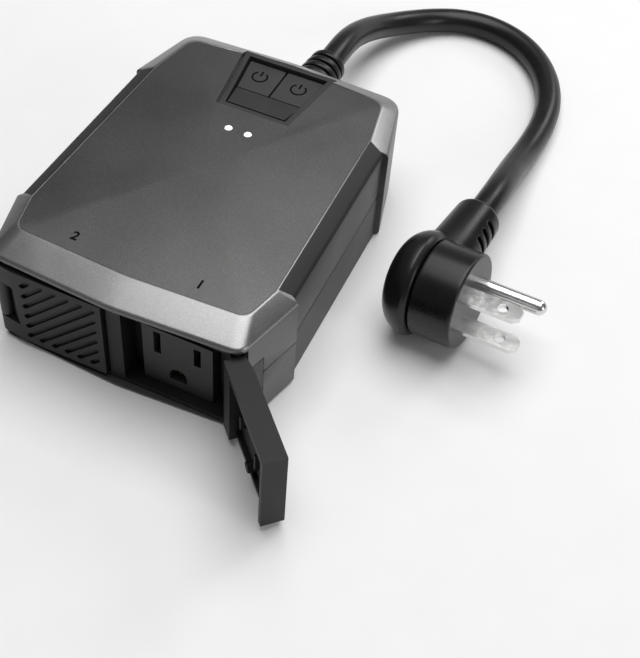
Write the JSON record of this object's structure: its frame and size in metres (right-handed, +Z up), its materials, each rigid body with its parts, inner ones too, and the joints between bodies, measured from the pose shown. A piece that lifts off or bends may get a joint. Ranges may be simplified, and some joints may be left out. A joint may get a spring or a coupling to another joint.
{
  "type": "outdoor smart plug",
  "caption": "Flat outdoor smart plug: weather-covered outlets in front, push buttons on top, and a short thick cord with a right-angle grounded plug.",
  "frame": {"origin": "centre of the case's flat base, on the surface that it stands on", "axes": "+X to the right along the front, +Y from the outlets towards the cord, +Z up"},
  "size_m": [0.1526, 0.2422, 0.0384],
  "materials": {
    "shell_grey": "satin metallic grey plastic",
    "panel_dark": "fine-textured dark grey satin plastic",
    "black_plastic": "fine-textured black plastic",
    "button_rubber": "matt black silicone rubber",
    "seal_rubber": "matt black rubber",
    "cord_jacket": "smooth black cord jacket with a soft sheen",
    "lens_white": "white translucent plastic",
    "nickel_plate": "bright nickel plate",
    "contact_brass": "stamped brass",
    "screw_steel": "zinc-plated steel",
    "board_green": "green solder mask",
    "relay_blue": "blue moulded plastic",
    "transformer_yellow": "yellow winding tape",
    "component_dark": "dark component plastic"
  },
  "bodies": {
    "case": {"top_shell": "shell_grey", "bottom_shell": "shell_grey", "hinge_bracket_1": "shell_grey", "hinge_bracket_2": "shell_grey", "top_panel": "panel_dark", "outlet_frame": "black_plastic", "receptacle_1": "black_plastic", "receptacle_2": "black_plastic", "keypad_frame": "black_plastic", "case_gasket_right": "seal_rubber", "case_gasket_left": "seal_rubber", "power_cord": "cord_jacket", "strain_relief": "cord_jacket", "plug_body": "cord_jacket", "plug_cap": "cord_jacket", "indicator_lens_1": "lens_white", "indicator_lens_2": "lens_white", "led_1": "lens_white", "led_2": "lens_white", "hot_blade": "nickel_plate", "neutral_blade": "nickel_plate", "ground_pin": "nickel_plate", "hot_contact_1": "contact_brass", "hot_contact_2": "contact_brass", "neutral_contact_1": "contact_brass", "neutral_contact_2": "contact_brass", "ground_contact_1": "contact_brass", "ground_contact_2": "contact_brass", "case_screw_1": "screw_steel", "case_screw_2": "screw_steel", "case_screw_3": "screw_steel", "case_screw_4": "screw_steel", "hinge_pin_1": "screw_steel", "hinge_pin_2": "screw_steel", "radio_module": "screw_steel", "circuit_board": "board_green", "button_board": "board_green", "relay_1": "relay_blue", "relay_2": "relay_blue", "transformer": "transformer_yellow", "capacitor": "component_dark", "tact_switch_1": "component_dark", "tact_switch_2": "component_dark"},
    "cover_1": {"cover_1": "black_plastic", "cover_seal_1": "seal_rubber"},
    "cover_2": {"cover_2": "black_plastic", "cover_seal_2": "seal_rubber"},
    "button_1": {"button_1": "button_rubber"},
    "button_2": {"button_2": "button_rubber"}
  },
  "joints": [
    {"name": "cover_1_hinge", "type": "hinge", "parent": "case", "child": "cover_1", "pos_m": [0.0378, -0.0565, 0.0176], "axis": [0, 0, 1], "range_deg": [-134, 5]},
    {"name": "cover_2_hinge", "type": "hinge", "parent": "case", "child": "cover_2", "pos_m": [-0.0378, -0.0565, 0.0176], "axis": [0, 0, -1], "range_deg": [0, 142]},
    {"name": "button_1_press", "type": "slide", "parent": "case", "child": "button_1", "axis": [0, 0, -1], "range_m": [0, 0.0008], "stiffness_N_per_m": 400, "springref_m": -0.001},
    {"name": "button_2_press", "type": "slide", "parent": "case", "child": "button_2", "axis": [0, 0, -1], "range_m": [0, 0.0008], "stiffness_N_per_m": 400, "springref_m": -0.001}
  ]
}
